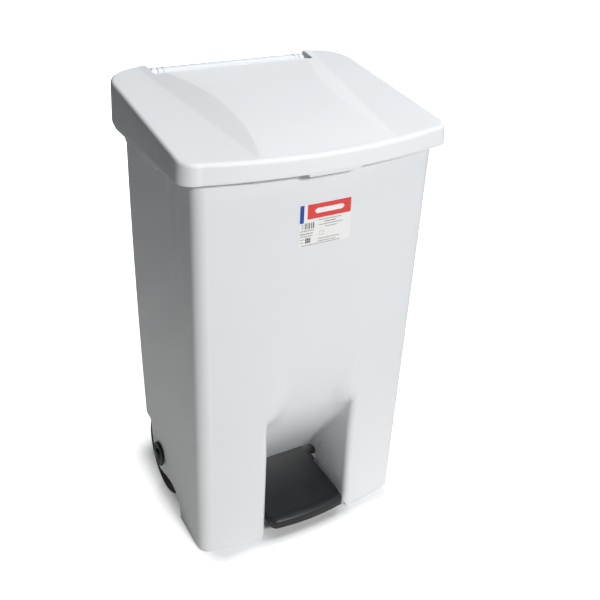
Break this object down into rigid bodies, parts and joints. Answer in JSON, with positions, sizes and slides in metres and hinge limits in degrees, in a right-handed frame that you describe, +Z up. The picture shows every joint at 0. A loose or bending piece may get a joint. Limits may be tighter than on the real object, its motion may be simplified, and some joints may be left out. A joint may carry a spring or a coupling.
{
  "type": "pedal bin",
  "caption": "Wheeled pedal bin: tapered tub on front legs and rear wheels, sloping lid hinged at the rear handle bar and lifted by a foot pedal through a lever and push rod.",
  "frame": {"origin": "on the floor, on the bin's middle plane, under the middle of the bin's overall length from the lid's front to the hinge ears' rear", "axes": "+X to the bin's right as seen from the front, +Y to the rear, +Z up"},
  "size_m": [0.502, 0.4128, 0.828],
  "materials": {
    "body_shell": "fine satin moulded surface",
    "lid_shell": "fine satin moulded surface",
    "black_plastic": "satin",
    "tyre": "matte",
    "soft_rubber": "matte",
    "steel": "zinc plated",
    "label_paper": "printed, semi-gloss"
  },
  "bodies": {
    "bin": {"body": "body_shell", "handle_bar": "body_shell", "pedal_pivot_rod": "steel", "pivot_nut_left": "steel", "pivot_nut_right": "steel", "rod_guide_upper": "body_shell", "rod_guide_middle": "body_shell", "rod_guide_lower": "body_shell", "axle": "steel", "axle_washer_left": "steel", "axle_washer_right": "steel", "axle_cap_left": "black_plastic", "axle_cap_right": "black_plastic", "label": "label_paper"},
    "lid": {"lid": "lid_shell", "hinge_pin_left": "steel", "hinge_pin_right": "steel", "lid_buffer_left": "soft_rubber", "lid_buffer_right": "soft_rubber", "lid_link_pin": "steel"},
    "pedal": {"pedal": "black_plastic", "pedal_lever": "steel", "lever_screw_front": "steel", "lever_screw_rear": "steel", "lever_cup": "black_plastic"},
    "push_rod": {"push_rod": "steel", "rod_eye": "black_plastic"},
    "wheel_left": {"wheel_left": "black_plastic", "tyre_left": "tyre"},
    "wheel_right": {"wheel_right": "black_plastic", "tyre_right": "tyre"}
  },
  "joints": [
    {"name": "lid_hinge", "type": "hinge", "parent": "bin", "child": "lid", "pos_m": [0, 0.1934, 0.812], "axis": [-1, 0, 0], "range_deg": [0, 75]},
    {"name": "pedal_pivot", "type": "hinge", "parent": "bin", "child": "pedal", "pos_m": [0, -0.0566, 0.024], "axis": [1, 0, 0], "range_deg": [0, 7.26]},
    {"name": "rod_slide", "type": "slide", "parent": "bin", "child": "push_rod", "axis": [0, 0, 1], "range_m": [0, 0.029]},
    {"name": "wheel_left_spin", "type": "hinge", "parent": "bin", "child": "wheel_left", "pos_m": [-0.185, 0.0514, 0.082], "axis": [1, 0, 0], "continuous": true},
    {"name": "wheel_right_spin", "type": "hinge", "parent": "bin", "child": "wheel_right", "pos_m": [0.185, 0.0514, 0.082], "axis": [1, 0, 0], "continuous": true}
  ],
  "couplings": [
    {"joint": "pedal_pivot", "follows": "lid_hinge", "ratio": 0.0967},
    {"joint": "rod_slide", "follows": "lid_hinge", "m_per_rad": 0.02213}
  ]
}
